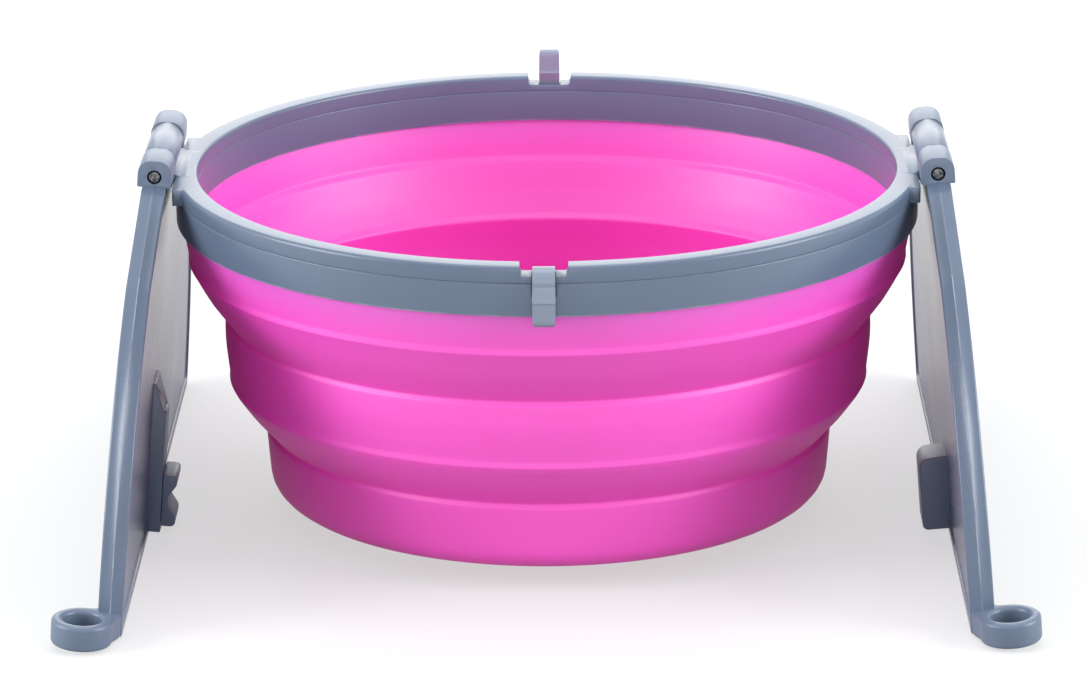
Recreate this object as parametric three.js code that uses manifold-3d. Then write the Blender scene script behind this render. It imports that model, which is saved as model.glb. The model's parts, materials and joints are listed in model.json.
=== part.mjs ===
// Collapsible travel bowl: a silicone bowl hung in a two-part rim ring, with two half-lids that
// swing right over on hinge pins and stand as legs. Units are millimetres, +Z is up, the front is -Y,
// and the origin is the centre of the bowl's underside.
import * as THREE from 'three';
import { mergeVertices } from 'three/addons/utils/BufferGeometryUtils.js';
import Module from 'manifold-3d';

// Clearances between pieces
const RUN_GAP = 0.3;
const BEAD_GAP = 0.25;

// Rim ring, in two parts that are joined on a flat plane
const RIM_OUTER_RADIUS = 80;
const RIM_WALL = 4.7;
const RIM_HEIGHT = 10.5;
const UPPER_RING_HEIGHT = 3.5;
const RIM_EDGE_ROUND = 1;
const RIM_FOOT_CHAMFER = 0.4;
const WELD_RIB_WIDTH = 1.2;
const WELD_RIB_HEIGHT = 1;

// Silicone bowl, from the mouth down: wall, fold, wall, fold, base
const SILICONE_WALL = 2.4;
const FOLD_THINNING = 0.6;
const UPPER_WALL_HEIGHT = 9.1;
const UPPER_WALL_TAPER = 1.6;
const UPPER_FOLD_HEIGHT = 12.4;
const UPPER_FOLD_STEP = 7.4;
const MIDDLE_WALL_HEIGHT = 14.5;
const MIDDLE_WALL_TAPER = 0.8;
const MIDDLE_WALL_BULGE = 0.7;
const LOWER_FOLD_HEIGHT = 10.5;
const LOWER_FOLD_STEP = 7.6;
const BASE_WALL_HEIGHT = 15;
const BASE_WALL_TAPER = 0.6;
const BASE_CORNER_RADIUS = 5;
const BASE_FLOOR = 2.6;
const FOLD_BULGE = 0.6;
const TONGUE_THICKNESS = 1.4;
const TONGUE_NECK = 1.5;
const BEAD_THICKNESS = 2;
const BEAD_HEIGHT = 1.7;

// Hinges between the rim and the half-lids
const KNUCKLE_RADIUS = 3.55;
const KNUCKLE_HEEL = 2.2;
const STOP_HEEL = 3.3;
const RIM_KNUCKLE_LENGTH = 21.4;
const LID_KNUCKLE_LENGTH = 10.6;
const PIN_RADIUS = 1.25;
const WEB_THICKNESS = 1.4;
const LEG_CLEARANCE = 0.3;
const LEG_SPLAY_DEG = 4.5;

// Half-lids
const LID_THICKNESS = 5.1;
const LID_OVERHANG = 5.6;
const LID_EDGE_WIDTH = 2.2;
const LID_PANEL = 2;
const LID_RECESS = 0.5;
const LID_HINGE_BAND = 4;
const LID_EDGE_DRAFT = 0.5;
const PARTING_LAND = 0.1;
const SHOULDER_DROP = 1.8;
const SHOULDER_OUT = 0.8;
const SHOULDER_ARC_DEG = 37.5;
const SPLIT_GAP = 5.6;
const EYELET_HOLE_RADIUS = 4;
const EYELET_WALL = 2.3;
const EYELET_THICKNESS = 5.4;
const EYELET_OUT = 2.9;
const EYELET_DROP = 5.3;

// Slide latch on the left lid and its keeper on the right lid
const LATCH_CENTRE = -16;
const LATCH_WIDTH = 10;
const LATCH_SETBACK = 0.35;
const GUIDE_LENGTH = 34;
const GUIDE_RAMP = 8;
const RAIL_WIDTH = 1.2;
const RAIL_LIP = 0.8;
const RAIL_LIP_HEIGHT = 0.8;
const SLIDER_FLANGE_HEIGHT = 1;
const SLIDER_LENGTH = 27;
const TONGUE_SETBACK = 0.3;
const LATCH_HOLD = 1.2;
const GRIP_LENGTH = 11.6;
const GRIP_RISE = 2.5;
const GRIP_VALLEY = 1;
const KEEPER_LENGTH = 17;
const KEEPER_HEIGHT = 6;
const KEEPER_ROUND = 1.2;
const KEEPER_BACK = 2.4;

// Rim clips at the front and the rear
const NOTCH_WIDTH = 9.6;
const NOTCH_DEPTH = 2;
const CLIP_WIDTH = 4.5;
const CLIP_SIDE_GAP = 0.2;
const CLIP_KNUCKLE_RADIUS = 2.8;
const CLIP_AXIS_DROP = 3;
const CLIP_AXIS_INSET = 1;
const CLIP_ARM_LENGTH = 9.05;
const CLIP_ARM_THICKNESS = 2.5;
const CLIP_SHOULDER_DROP = 3.8;
const CLIP_FRONT_ANGLE = -0.3;
const CLIP_TIP_ROUND = 0.9;
const CLIP_AXLE_RADIUS = 0.5;
const CLIP_AXLE_LENGTH = 10;
const CLIP_AXLE_FIT = 0.15;

// Facets
const RING_FACETS = 48;
const BARREL_FACETS = 20;
const PIN_FACETS = 14;
const ARC_STEPS = 18;
const GRIP_STEPS = 6;
const HOOD_STEPS = 4;
const FOLD_STEPS = 5;
const CORNER_STEPS = 3;

// Heights and radii that follow from the driving sizes
const baseTop = BASE_WALL_HEIGHT;
const lowerRidgeZ = baseTop + LOWER_FOLD_HEIGHT;
const middleTop = lowerRidgeZ + MIDDLE_WALL_HEIGHT;
const upperRidgeZ = middleTop + UPPER_FOLD_HEIGHT;
const rimBottom = upperRidgeZ + UPPER_WALL_HEIGHT;
const rimTop = rimBottom + RIM_HEIGHT;
const ringJoint = rimTop - UPPER_RING_HEIGHT;
const rimInnerRadius = RIM_OUTER_RADIUS - RIM_WALL;
const rimMidRadius = RIM_OUTER_RADIUS - RIM_WALL / 2;
const mouthRadius = rimMidRadius + SILICONE_WALL / 2;
const upperRidgeRadius = mouthRadius - UPPER_WALL_TAPER;
const upperCreaseRadius = upperRidgeRadius - UPPER_FOLD_STEP;
const lowerRidgeRadius = upperCreaseRadius - MIDDLE_WALL_TAPER;
const lowerCreaseRadius = lowerRidgeRadius - LOWER_FOLD_STEP;
const baseRadius = lowerCreaseRadius - BASE_WALL_TAPER;
const hingeX = RIM_OUTER_RADIUS + LEG_CLEARANCE + LID_THICKNESS / 2;
const hingeZ = rimTop + LID_THICKNESS / 2 + RUN_GAP;
const boreRadius = PIN_RADIUS + RUN_GAP;
const lidKnuckleStart = RIM_KNUCKLE_LENGTH / 2 + RUN_GAP;
const hingeHalfLength = lidKnuckleStart + LID_KNUCKLE_LENGTH;
const lidRadius = RIM_OUTER_RADIUS + LID_OVERHANG;
const lidLength = hingeX - SPLIT_GAP / 2;
const lidTop = LID_THICKNESS / 2;
const panelTop = lidTop - LID_RECESS;
const latchEnd = lidLength - LATCH_SETBACK;
const clipAxisRadius = RIM_OUTER_RADIUS - CLIP_AXIS_INSET;
const clipAxisZ = rimTop - CLIP_AXIS_DROP;
const sliderBottom = lidTop + RUN_GAP;
const flangeTop = sliderBottom + SLIDER_FLANGE_HEIGHT;
const railLipBottom = flangeTop + RUN_GAP;
const railTop = railLipBottom + RAIL_LIP_HEIGHT;
const sliderHalf = LATCH_WIDTH / 2 - RAIL_WIDTH - RAIL_LIP - RUN_GAP;

const wasm = await Module();
wasm.setup();

// Solids and meshes
function toSolid(geometry) {
  const bare = geometry.clone();
  bare.deleteAttribute('normal');
  bare.deleteAttribute('uv');
  const merged = mergeVertices(bare, 1e-4);
  const corners = merged.index.array;
  const kept = [];
  for (let i = 0; i < corners.length; i += 3) {
    const [a, b, c] = [corners[i], corners[i + 1], corners[i + 2]];
    if (a !== b && b !== c && c !== a) kept.push(a, b, c);
  }
  return new wasm.Manifold(new wasm.Mesh({
    numProp: 3,
    vertProperties: merged.attributes.position.array,
    triVerts: Uint32Array.from(kept),
  }));
}

function toMesh(name, solid, material) {
  const { numProp, vertProperties, triVerts } = solid.getMesh();
  const positions = new Float32Array((vertProperties.length / numProp) * 3);
  for (let i = 0; i < positions.length; i += 1) {
    positions[i] = vertProperties[Math.floor(i / 3) * numProp + (i % 3)];
  }
  const geometry = new THREE.BufferGeometry();
  geometry.setAttribute('position', new THREE.BufferAttribute(positions, 3));
  geometry.setIndex(Array.from(triVerts));
  geometry.computeVertexNormals();
  const mesh = new THREE.Mesh(geometry, material);
  mesh.name = name;
  return mesh;
}

function revolve(points) {
  const loop = points.map(([radius, z]) => new THREE.Vector2(radius, z));
  const geometry = new THREE.LatheGeometry(loop, RING_FACETS);
  return toSolid(geometry.rotateX(Math.PI / 2));
}

// A block between two corners
function block(low, high) {
  const size = low.map((value, i) => high[i] - value);
  const geometry = new THREE.BoxGeometry(...size);
  return toSolid(geometry.translate(...low.map((value, i) => value + size[i] / 2)));
}

// A round bar along Y, or along X when turned
function barAlongY(radius, fromY, toY, facets) {
  const geometry = new THREE.CylinderGeometry(radius, radius, toY - fromY, facets);
  return toSolid(geometry.translate(0, (fromY + toY) / 2, 0));
}

function barAlongX(radius, length, facets) {
  const geometry = new THREE.CylinderGeometry(radius, radius, length, facets);
  return toSolid(geometry.rotateZ(Math.PI / 2));
}

// A flat outline made thick along its own Z, from bottom to top
function slab(shape, bottom, top) {
  const geometry = new THREE.ExtrudeGeometry(shape, {
    depth: top - bottom,
    bevelEnabled: false,
    curveSegments: ARC_STEPS,
  });
  return toSolid(geometry.translate(0, 0, bottom));
}

// A slab whose edge was moulded in two halves, each drawn in from a narrow land half way up
function draftedSlab(shape, half, draft) {
  const geometry = new THREE.ExtrudeGeometry(shape, {
    depth: PARTING_LAND,
    bevelThickness: half - PARTING_LAND / 2,
    bevelSize: draft,
    bevelOffset: -draft,
    bevelSegments: 1,
    curveSegments: ARC_STEPS,
  });
  return toSolid(geometry.translate(0, 0, -PARTING_LAND / 2));
}

// An outline drawn in a plane with the given in-plane axes, made thick evenly about that plane
function profileAcross(shape, thickness, axisU, axisV, curveSegments) {
  const geometry = new THREE.ExtrudeGeometry(shape, { depth: thickness, bevelEnabled: false, curveSegments });
  geometry.translate(0, 0, -thickness / 2);
  const axisW = new THREE.Vector3().crossVectors(axisU, axisV);
  return toSolid(geometry.applyMatrix4(new THREE.Matrix4().makeBasis(axisU, axisV, axisW)));
}

const AXIS_X = new THREE.Vector3(1, 0, 0);
const AXIS_Y = new THREE.Vector3(0, 1, 0);
const AXIS_Z = new THREE.Vector3(0, 0, 1);

// Rim ring
const grooveNeckIn = rimMidRadius - TONGUE_THICKNESS / 2 - BEAD_GAP;
const grooveNeckOut = rimMidRadius + TONGUE_THICKNESS / 2 + BEAD_GAP;
const grooveBeadIn = rimMidRadius - BEAD_THICKNESS / 2 - BEAD_GAP;
const grooveBeadOut = rimMidRadius + BEAD_THICKNESS / 2 + BEAD_GAP;
const grooveNeckTop = rimBottom + TONGUE_NECK;
const grooveTop = grooveNeckTop + BEAD_HEIGHT + BEAD_GAP;

function roundedTopEdge(radius, z, inward) {
  const diagonal = RIM_EDGE_ROUND * (1 - Math.SQRT1_2);
  return [
    [radius, z - RIM_EDGE_ROUND],
    [radius + inward * diagonal, z - diagonal],
    [radius + inward * RIM_EDGE_ROUND, z],
  ];
}

function upperRingBlank() {
  return revolve([
    [rimInnerRadius, ringJoint],
    [RIM_OUTER_RADIUS, ringJoint],
    ...roundedTopEdge(RIM_OUTER_RADIUS, rimTop, -1),
    ...roundedTopEdge(rimInnerRadius, rimTop, 1).reverse(),
    [rimInnerRadius, ringJoint],
  ]);
}

// The channel under the upper ring that takes the lower ring's weld rib
function weldChannel() {
  const channelIn = rimMidRadius - WELD_RIB_WIDTH / 2 - BEAD_GAP;
  const channelOut = rimMidRadius + WELD_RIB_WIDTH / 2 + BEAD_GAP;
  const channelTop = ringJoint + WELD_RIB_HEIGHT + BEAD_GAP;
  return revolve([
    [channelIn, ringJoint - BEAD_GAP],
    [channelOut, ringJoint - BEAD_GAP],
    [channelOut, channelTop],
    [channelIn, channelTop],
    [channelIn, ringJoint - BEAD_GAP],
  ]);
}

function lowerRingBlank() {
  const ribIn = rimMidRadius - WELD_RIB_WIDTH / 2;
  const ribOut = rimMidRadius + WELD_RIB_WIDTH / 2;
  const ribTop = ringJoint + WELD_RIB_HEIGHT;
  return revolve([
    [rimInnerRadius, rimBottom + RIM_FOOT_CHAMFER],
    [rimInnerRadius + RIM_FOOT_CHAMFER, rimBottom],
    [grooveNeckIn, rimBottom],
    [grooveNeckIn, grooveNeckTop],
    [grooveBeadIn, grooveNeckTop],
    [grooveBeadIn, grooveTop],
    [grooveBeadOut, grooveTop],
    [grooveBeadOut, grooveNeckTop],
    [grooveNeckOut, grooveNeckTop],
    [grooveNeckOut, rimBottom],
    [RIM_OUTER_RADIUS - RIM_FOOT_CHAMFER, rimBottom],
    [RIM_OUTER_RADIUS, rimBottom + RIM_FOOT_CHAMFER],
    [RIM_OUTER_RADIUS, ringJoint],
    [ribOut, ringJoint],
    [ribOut, ribTop],
    [ribIn, ribTop],
    [ribIn, ringJoint],
    [rimInnerRadius, ringJoint],
    [rimInnerRadius, rimBottom + RIM_FOOT_CHAMFER],
  ]);
}

// The pad, web and middle knuckle of one hinge, on the side given by its sign
function rimHinge(side) {
  const padFace = hingeX - STOP_HEEL - RUN_GAP;
  const padRoot = rimInnerRadius + RIM_FOOT_CHAMFER;
  const across = (low, high) => (side > 0 ? [low, high] : [-high, -low]);
  const [padLow, padHigh] = across(padRoot, padFace);
  const pad = block([padLow, -hingeHalfLength, ringJoint], [padHigh, hingeHalfLength, rimTop]);
  const [webLow, webHigh] = across(rimMidRadius, hingeX);
  const half = RIM_KNUCKLE_LENGTH / 2;
  const web = block([webLow, -half, rimTop - WEB_THICKNESS], [webHigh, half, rimTop]);
  const barrel = barAlongY(KNUCKLE_RADIUS, -half, half, BARREL_FACETS).translate([side * hingeX, 0, hingeZ]);
  return pad.add(web).add(barrel);
}

function hingeBore(side) {
  const reach = hingeHalfLength + RIM_WALL;
  return barAlongY(boreRadius, -reach, reach, PIN_FACETS).translate([side * hingeX, 0, hingeZ]);
}

// What a clip needs cut out of the rim: its notch, its knuckle pocket and its axle's bed
function clipCuts(side) {
  const outside = RIM_OUTER_RADIUS + RIM_WALL;
  const pocketHalf = CLIP_WIDTH / 2 + CLIP_SIDE_GAP;
  const pocketReach = CLIP_KNUCKLE_RADIUS + RUN_GAP;
  const along = (low, high) => (side > 0 ? [low, high] : [-high, -low]);
  const [notchLow, notchHigh] = along(rimInnerRadius - RIM_WALL, outside);
  const notch = block(
    [-NOTCH_WIDTH / 2, notchLow, rimTop - NOTCH_DEPTH],
    [NOTCH_WIDTH / 2, notchHigh, rimTop + RIM_EDGE_ROUND],
  );
  const [pocketLow, pocketHigh] = along(clipAxisRadius - pocketReach, outside);
  const pocket = block(
    [-pocketHalf, pocketLow, clipAxisZ - pocketReach],
    [pocketHalf, pocketHigh, rimTop + RIM_EDGE_ROUND],
  );
  const bed = barAlongX(CLIP_AXLE_RADIUS + CLIP_AXLE_FIT, CLIP_AXLE_LENGTH + 2 * RUN_GAP, PIN_FACETS)
    .translate([0, side * clipAxisRadius, clipAxisZ]);
  return notch.add(pocket).add(bed);
}

const rimCuts = clipCuts(-1).add(clipCuts(1));

function upperRing() {
  return upperRingBlank()
    .add(rimHinge(-1))
    .add(rimHinge(1))
    .subtract(hingeBore(-1))
    .subtract(hingeBore(1))
    .subtract(weldChannel())
    .subtract(rimCuts);
}

function lowerRing() {
  return lowerRingBlank().subtract(rimCuts);
}

// Silicone bowl, one section for each stiff wall and each fold
const inside = (radius) => radius - SILICONE_WALL;

// Outer edge of a fold from its crease up to its ridge, swelling outward a little between them
function foldEdge(creaseRadius, creaseZ, ridgeRadius, ridgeZ, thinning) {
  const points = [];
  for (let i = 0; i <= FOLD_STEPS; i += 1) {
    const t = i / FOLD_STEPS;
    const swell = 4 * t * (1 - t);
    const radius = creaseRadius + (ridgeRadius - creaseRadius) * t + (FOLD_BULGE + thinning) * swell;
    points.push([radius, creaseZ + (ridgeZ - creaseZ) * t]);
  }
  return points;
}

function fold(creaseRadius, creaseZ, ridgeRadius, ridgeZ) {
  const outer = foldEdge(creaseRadius, creaseZ, ridgeRadius, ridgeZ, 0);
  const inner = foldEdge(inside(creaseRadius), creaseZ, inside(ridgeRadius), ridgeZ, FOLD_THINNING);
  return revolve([...outer, ...inner.reverse(), outer[0]]);
}

function upperBand() {
  const tongueIn = rimMidRadius - TONGUE_THICKNESS / 2;
  const tongueOut = rimMidRadius + TONGUE_THICKNESS / 2;
  const beadBottom = grooveNeckTop + BEAD_GAP;
  const beadTop = grooveTop - BEAD_GAP;
  return revolve([
    [upperRidgeRadius, upperRidgeZ],
    [mouthRadius, rimBottom],
    [tongueOut, rimBottom],
    [tongueOut, beadBottom],
    [rimMidRadius + BEAD_THICKNESS / 2, beadBottom],
    [rimMidRadius + BEAD_THICKNESS / 2, beadTop],
    [rimMidRadius - BEAD_THICKNESS / 2, beadTop],
    [rimMidRadius - BEAD_THICKNESS / 2, beadBottom],
    [tongueIn, beadBottom],
    [tongueIn, rimBottom],
    [inside(mouthRadius), rimBottom],
    [inside(upperRidgeRadius), upperRidgeZ],
    [upperRidgeRadius, upperRidgeZ],
  ]);
}

function middleBand() {
  const bellyZ = (lowerRidgeZ + middleTop) / 2;
  const bellyRadius = (lowerRidgeRadius + upperCreaseRadius) / 2 + MIDDLE_WALL_BULGE;
  return revolve([
    [lowerRidgeRadius, lowerRidgeZ],
    [bellyRadius, bellyZ],
    [upperCreaseRadius, middleTop],
    [inside(upperCreaseRadius), middleTop],
    [inside(bellyRadius), bellyZ],
    [inside(lowerRidgeRadius), lowerRidgeZ],
    [lowerRidgeRadius, lowerRidgeZ],
  ]);
}

// Quarter round from the flat of a floor up to its wall
function cornerRound(wallRadius, floorZ, radius) {
  return Array.from({ length: CORNER_STEPS + 1 }, (_, i) => {
    const angle = (Math.PI / 2) * (i / CORNER_STEPS);
    const centre = wallRadius - radius;
    return [centre + radius * Math.sin(angle), floorZ + radius * (1 - Math.cos(angle))];
  });
}

function base() {
  const innerRound = Math.max(BASE_CORNER_RADIUS - SILICONE_WALL, SILICONE_WALL / 2);
  return revolve([
    [0, 0],
    ...cornerRound(baseRadius, 0, BASE_CORNER_RADIUS),
    [lowerCreaseRadius, baseTop],
    [inside(lowerCreaseRadius), baseTop],
    ...cornerRound(inside(baseRadius), BASE_FLOOR, innerRound).reverse(),
    [0, BASE_FLOOR],
  ]);
}

// Half-lid, drawn closed: X runs from the hinge axis to the split, Z is up, the hinge axis is Y
// Its edge is an arc with a straight shoulder at each end of the hinge, and an inset outline follows it
function lidOutline(inset, hingeEnd, splitEnd) {
  const radius = lidRadius - inset;
  const arcStart = THREE.MathUtils.degToRad(SHOULDER_ARC_DEG);
  const arcEnd = Math.acos((hingeX - splitEnd) / radius);
  const onArc = (r) => [hingeX - r * Math.cos(arcStart), r * Math.sin(arcStart)];
  const [rimX, rimY] = onArc(lidRadius);
  const slope = (rimY - hingeHalfLength - SHOULDER_OUT) / (rimX - SHOULDER_DROP);
  const [startX, startY] = onArc(radius);
  const hingeY = startY - slope * (startX - hingeEnd);
  const shape = new THREE.Shape();
  shape.moveTo(hingeEnd, -hingeY);
  shape.lineTo(startX, -startY);
  shape.absarc(hingeX, 0, radius, Math.PI + arcStart, Math.PI + arcEnd, false);
  shape.absarc(hingeX, 0, radius, Math.PI - arcEnd, Math.PI - arcStart, false);
  shape.lineTo(hingeEnd, hingeY);
  return shape;
}

// The lid's plain slab, drafted round its edge and cut square along the split, where it stands
function lidBlank() {
  const outline = lidOutline(0, SHOULDER_DROP, lidLength + LID_EDGE_DRAFT);
  return draftedSlab(outline, lidTop, LID_EDGE_DRAFT).trimByPlane([-1, 0, 0], -lidLength);
}

// One of a lid's two knuckles, with the heel that stops the leg against the rim's pad
function lidKnuckle(end) {
  const [fromY, toY] = end > 0 ? [lidKnuckleStart, hingeHalfLength] : [-hingeHalfLength, -lidKnuckleStart];
  const stopEnd = end * (lidKnuckleStart + LID_KNUCKLE_LENGTH / 2);
  const [stopFrom, stopTo] = end > 0 ? [fromY, stopEnd] : [stopEnd, toY];
  return barAlongY(KNUCKLE_RADIUS, fromY, toY, BARREL_FACETS)
    .add(block([0, fromY, -KNUCKLE_RADIUS], [KNUCKLE_HEEL, toY, KNUCKLE_RADIUS]))
    .add(block([0, stopFrom, 0], [STOP_HEEL, stopTo, KNUCKLE_RADIUS]))
    .add(block([0, fromY, -lidTop], [KNUCKLE_RADIUS + LID_HINGE_BAND, toY, lidTop]));
}

// The loop at a lid's front corner, square to the lid and level with its straight edge
function eyelet(frontSign) {
  const outer = EYELET_HOLE_RADIUS + EYELET_WALL;
  const centreY = lidRadius + EYELET_OUT;
  const shape = new THREE.Shape();
  shape.moveTo(centreY - outer, -EYELET_DROP);
  shape.absarc(centreY, -EYELET_DROP, outer, Math.PI, Math.PI / 2, false);
  shape.lineTo(lidRadius - outer, lidTop);
  shape.lineTo(lidRadius - outer, -lidTop);
  const ring = profileAcross(shape, EYELET_THICKNESS, AXIS_Y, AXIS_Z, ARC_STEPS);
  const hole = barAlongX(EYELET_HOLE_RADIUS, 2 * EYELET_THICKNESS, BARREL_FACETS)
    .translate([0, centreY, -EYELET_DROP]);
  const move = (solid) => {
    const placed = solid.translate([lidLength - EYELET_THICKNESS / 2, 0, 0]);
    return frontSign > 0 ? placed : placed.mirror([0, 1, 0]);
  };
  return { ring: move(ring), hole: move(hole) };
}

function lidShell(frontSign) {
  const inset = lidOutline(LID_EDGE_WIDTH, KNUCKLE_RADIUS + LID_HINGE_BAND, lidLength - LID_EDGE_WIDTH);
  const panelBottom = panelTop - LID_PANEL;
  const hollow = slab(inset, -LID_THICKNESS, panelBottom);
  const recess = slab(inset, panelTop, LID_THICKNESS);
  const gateDepth = KNUCKLE_RADIUS + WEB_THICKNESS;
  const gate = block(
    [-LID_THICKNESS, -lidKnuckleStart, -LID_THICKNESS],
    [gateDepth, lidKnuckleStart, LID_THICKNESS],
  );
  const { ring, hole } = eyelet(frontSign);
  return lidBlank()
    .subtract(hollow)
    .subtract(recess)
    .subtract(gate)
    .add(lidKnuckle(1))
    .add(lidKnuckle(-1))
    .subtract(barAlongY(boreRadius, -lidRadius, lidRadius, PIN_FACETS))
    .add(ring)
    .subtract(hole);
}

// Two hooked rails and their bed, on the left lid, ramped down towards the hinge
function latchGuide() {
  const half = LATCH_WIDTH / 2;
  const start = lidLength - GUIDE_LENGTH;
  const floor = panelTop - LID_PANEL / 2;
  const rail = block([start, half - RAIL_WIDTH, floor], [latchEnd, half, railTop])
    .add(block([start, half - RAIL_WIDTH - RAIL_LIP, railLipBottom], [latchEnd, half, railTop]));
  const bed = block([start, -half, floor], [latchEnd, half, lidTop]);
  const wedge = new THREE.Shape();
  wedge.moveTo(start, lidTop);
  wedge.lineTo(start + GUIDE_RAMP, railTop);
  wedge.lineTo(start + GUIDE_RAMP, railTop + RAIL_LIP);
  wedge.lineTo(start - RAIL_LIP, railTop + RAIL_LIP);
  wedge.lineTo(start - RAIL_LIP, lidTop);
  return bed.add(rail).add(rail.mirror([0, 1, 0]))
    .subtract(profileAcross(wedge, 2 * LATCH_WIDTH, AXIS_X, AXIS_Z, 1))
    .translate([0, LATCH_CENTRE, 0]);
}

// The hood on the right lid that the latch's tongue slides into
function keeperHood() {
  const start = lidLength - KEEPER_LENGTH;
  const top = panelTop + KEEPER_HEIGHT;
  const shape = new THREE.Shape();
  shape.moveTo(start, panelTop - LID_PANEL / 2);
  shape.lineTo(latchEnd, panelTop - LID_PANEL / 2);
  shape.lineTo(latchEnd, top - KEEPER_ROUND);
  shape.quadraticCurveTo(latchEnd, top, latchEnd - KEEPER_ROUND, top);
  shape.lineTo(start + 2 * KEEPER_ROUND, top);
  shape.quadraticCurveTo(start + KEEPER_ROUND, top, start + KEEPER_ROUND / 2, top - KEEPER_ROUND);
  const hood = profileAcross(shape, LATCH_WIDTH, AXIS_X, AXIS_Z, HOOD_STEPS);
  const mouthHalf = sliderHalf + RUN_GAP;
  const mouth = block(
    [lidLength - LATCH_HOLD - KEEPER_BACK, -mouthHalf, lidTop],
    [lidLength + KEEPER_BACK, mouthHalf, railTop + RUN_GAP],
  );
  return { hood: hood.translate([0, -LATCH_CENTRE, 0]), mouth: mouth.translate([0, -LATCH_CENTRE, 0]) };
}

// The sliding latch, drawn as it lies on the closed left lid with its tongue drawn back
function latchSlider() {
  const tip = lidLength - TONGUE_SETBACK;
  const start = tip - SLIDER_LENGTH;
  const gripEnd = tip - LATCH_HOLD - RUN_GAP;
  const gripStart = gripEnd - GRIP_LENGTH;
  const flangeHalf = LATCH_WIDTH / 2 - RAIL_WIDTH - RUN_GAP;
  const gripBottom = railTop + RUN_GAP;
  const body = block([start, -sliderHalf, sliderBottom], [tip, sliderHalf, railTop]);
  const neck = block([gripStart, -sliderHalf, sliderBottom], [gripEnd, sliderHalf, gripBottom + RUN_GAP]);
  const flange = block([start, -flangeHalf, sliderBottom], [gripEnd, flangeHalf, flangeTop]);
  const gripTop = gripBottom + GRIP_RISE;
  const valley = gripBottom + GRIP_VALLEY;
  const middle = (gripStart + gripEnd) / 2;
  const swell = GRIP_LENGTH / 8;
  const shape = new THREE.Shape();
  shape.moveTo(gripStart, gripBottom);
  shape.lineTo(gripEnd, gripBottom);
  shape.lineTo(gripEnd, valley);
  shape.quadraticCurveTo(gripEnd, gripTop, gripEnd - swell, gripTop);
  shape.bezierCurveTo(gripEnd - 2 * swell, gripTop, middle + swell, valley, middle, valley);
  shape.bezierCurveTo(middle - swell, valley, gripStart + 2 * swell, gripTop, gripStart + swell, gripTop);
  shape.quadraticCurveTo(gripStart, gripTop, gripStart, valley);
  const grip = profileAcross(shape, LATCH_WIDTH - 2 * RUN_GAP, AXIS_X, AXIS_Z, GRIP_STEPS);
  return body.add(neck).add(flange).add(grip).translate([0, LATCH_CENTRE, 0]);
}

function leftLid() {
  return lidShell(-1).add(latchGuide());
}

function rightLid() {
  const { hood, mouth } = keeperHood();
  return lidShell(1).add(hood).subtract(mouth);
}

// Rim clip, drawn hanging: the outline's X is outward from the rim and its Y is up, about the axle
function clip() {
  const back = CLIP_AXIS_INSET + RUN_GAP;
  const front = back + CLIP_ARM_THICKNESS;
  const meets = Math.asin(-Math.sqrt(CLIP_KNUCKLE_RADIUS ** 2 - back ** 2) / CLIP_KNUCKLE_RADIUS);
  const tip = -CLIP_ARM_LENGTH;
  const shape = new THREE.Shape();
  shape.moveTo(back, tip + CLIP_TIP_ROUND);
  shape.lineTo(back, CLIP_KNUCKLE_RADIUS * Math.sin(meets));
  shape.absarc(0, 0, CLIP_KNUCKLE_RADIUS, meets, CLIP_FRONT_ANGLE - 2 * Math.PI, true);
  shape.lineTo(front, -CLIP_SHOULDER_DROP);
  shape.lineTo(front - CLIP_TIP_ROUND / 3, tip + CLIP_TIP_ROUND);
  shape.quadraticCurveTo(front - CLIP_TIP_ROUND / 3, tip, (back + front) / 2, tip);
  shape.quadraticCurveTo(back, tip, back, tip + CLIP_TIP_ROUND);
  const bore = barAlongX(CLIP_AXLE_RADIUS + RUN_GAP, 2 * CLIP_WIDTH, PIN_FACETS);
  return profileAcross(shape, CLIP_WIDTH, AXIS_Y, AXIS_Z, ARC_STEPS).subtract(bore);
}

// Materials
function finish(color, roughness, metalness) {
  return new THREE.MeshStandardMaterial({ color, roughness, metalness });
}
const greyPlastic = finish(0x8c9baf, 0.45, 0);
const pinkSilicone = finish(0xee5cc4, 0.5, 0);
const pinSteel = finish(0xb8bcc2, 0.3, 1);

// Assembly, standing on its opened lids as in use
const bowl = new THREE.Group();
bowl.add(
  toMesh('rim_upper_ring', upperRing(), greyPlastic),
  toMesh('rim_lower_ring', lowerRing(), greyPlastic),
  toMesh('bowl_upper_band', upperBand(), pinkSilicone),
  toMesh('bowl_upper_fold', fold(upperCreaseRadius, middleTop, upperRidgeRadius, upperRidgeZ), pinkSilicone),
  toMesh('bowl_middle_band', middleBand(), pinkSilicone),
  toMesh('bowl_lower_fold', fold(lowerCreaseRadius, baseTop, lowerRidgeRadius, lowerRidgeZ), pinkSilicone),
  toMesh('bowl_base', base(), pinkSilicone),
);

const restTurn = THREE.MathUtils.degToRad(90 + LEG_SPLAY_DEG);

function hingedGroup(side, ...meshes) {
  const swing = new THREE.Group();
  swing.position.set(side * hingeX, 0, hingeZ);
  swing.rotation.y = -side * restTurn;
  const facing = new THREE.Group();
  facing.rotation.z = side > 0 ? Math.PI : 0;
  facing.add(...meshes);
  swing.add(facing);
  return swing;
}

bowl.add(hingedGroup(-1,
  toMesh('left_lid', leftLid(), greyPlastic),
  toMesh('latch_slider', latchSlider(), greyPlastic)));
bowl.add(hingedGroup(1, toMesh('right_lid', rightLid(), greyPlastic)));

for (const [name, side] of [['left_hinge_pin', -1], ['right_hinge_pin', 1]]) {
  const pin = toMesh(name, barAlongY(PIN_RADIUS, -hingeHalfLength, hingeHalfLength, PIN_FACETS), pinSteel);
  pin.position.set(side * hingeX, 0, hingeZ);
  bowl.add(pin);
}

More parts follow.
